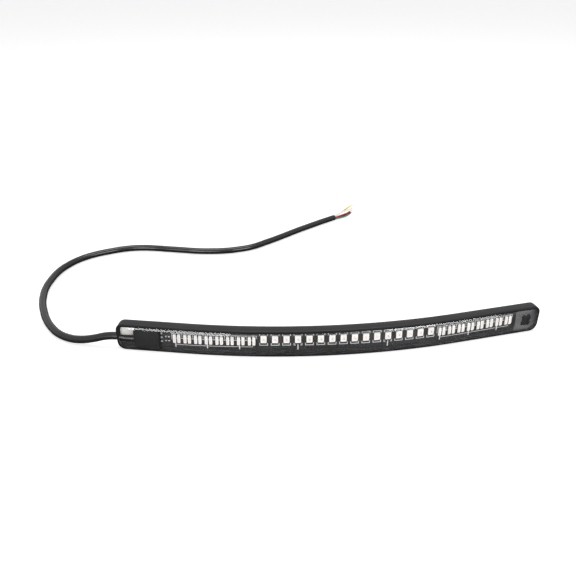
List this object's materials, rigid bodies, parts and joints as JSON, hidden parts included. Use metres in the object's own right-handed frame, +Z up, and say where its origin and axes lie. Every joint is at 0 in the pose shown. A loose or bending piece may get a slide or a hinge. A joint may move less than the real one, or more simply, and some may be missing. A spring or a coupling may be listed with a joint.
{
  "type": "motorcycle led tail light strip",
  "caption": "Flexible black stick-on strip with brake and turn signal LEDs on a board under clear domed resin, bent in an arc, with a round cable ending in stripped wires.",
  "frame": {"origin": "centre of the strip's box, without its cable, on the surface that its long lower edge stands on", "axes": "+X along the strip from the cable end to the far end, -Y where the lens looks, +Z up"},
  "size_m": [0.2571, 0.1779, 0.0142],
  "materials": {
    "silicone_black": "satin, faintly dusty moulded silicone",
    "resin_clear": "clear poured resin, glossy",
    "board_black": "dark solder mask with pale print",
    "sleeve_black": "matt",
    "solder": "bright",
    "resistor_black": "matt",
    "sealant_dark": "satin",
    "foam_white": "matt",
    "liner_red": "semi-gloss film",
    "lamp_white": "warm white lamp body",
    "jacket_black": "glossy",
    "tinned_copper": "dull tinned strands",
    "wire_yellow": "semi-gloss",
    "wire_white": "semi-gloss",
    "wire_red": "semi-gloss",
    "wire_black": "semi-gloss",
    "wire_green": "semi-gloss"
  },
  "bodies": {
    "root": {"housing": "silicone_black", "resin_lens": "resin_clear", "flex_board": "board_black", "joint_sleeve": "sleeve_black", "solder_joints": "solder", "chip_resistor_1": "resistor_black", "chip_resistor_2": "resistor_black", "sealant_dab": "sealant_dark", "foam_tape": "foam_white", "release_liner": "liner_red", "brake_led_01": "lamp_white", "brake_led_02": "lamp_white", "brake_led_03": "lamp_white", "brake_led_04": "lamp_white", "brake_led_05": "lamp_white", "brake_led_06": "lamp_white", "brake_led_07": "lamp_white", "brake_led_08": "lamp_white", "brake_led_09": "lamp_white", "brake_led_10": "lamp_white", "brake_led_11": "lamp_white", "brake_led_12": "lamp_white", "brake_led_13": "lamp_white", "brake_led_14": "lamp_white", "brake_led_15": "lamp_white", "brake_led_16": "lamp_white", "left_turn_led_pair_1": "lamp_white", "left_turn_led_pair_2": "lamp_white", "left_turn_led_pair_3": "lamp_white", "left_turn_led_pair_4": "lamp_white", "left_turn_led_pair_5": "lamp_white", "left_turn_led_pair_6": "lamp_white", "left_turn_led_pair_7": "lamp_white", "left_turn_led_pair_8": "lamp_white", "right_turn_led_pair_1": "lamp_white", "right_turn_led_pair_2": "lamp_white", "right_turn_led_pair_3": "lamp_white", "right_turn_led_pair_4": "lamp_white", "right_turn_led_pair_5": "lamp_white", "right_turn_led_pair_6": "lamp_white", "right_turn_led_pair_7": "lamp_white", "right_turn_led_pair_8": "lamp_white", "inner_wire_yellow": "wire_yellow", "inner_wire_white": "wire_white", "inner_wire_red": "wire_red", "inner_wire_black": "wire_black", "inner_wire_green": "wire_green", "cable_jacket": "jacket_black", "copper_ends": "tinned_copper", "lead_yellow": "wire_yellow", "lead_white": "wire_white", "lead_red": "wire_red", "lead_black": "wire_black", "lead_green": "wire_green"}
  },
  "joints": []
}
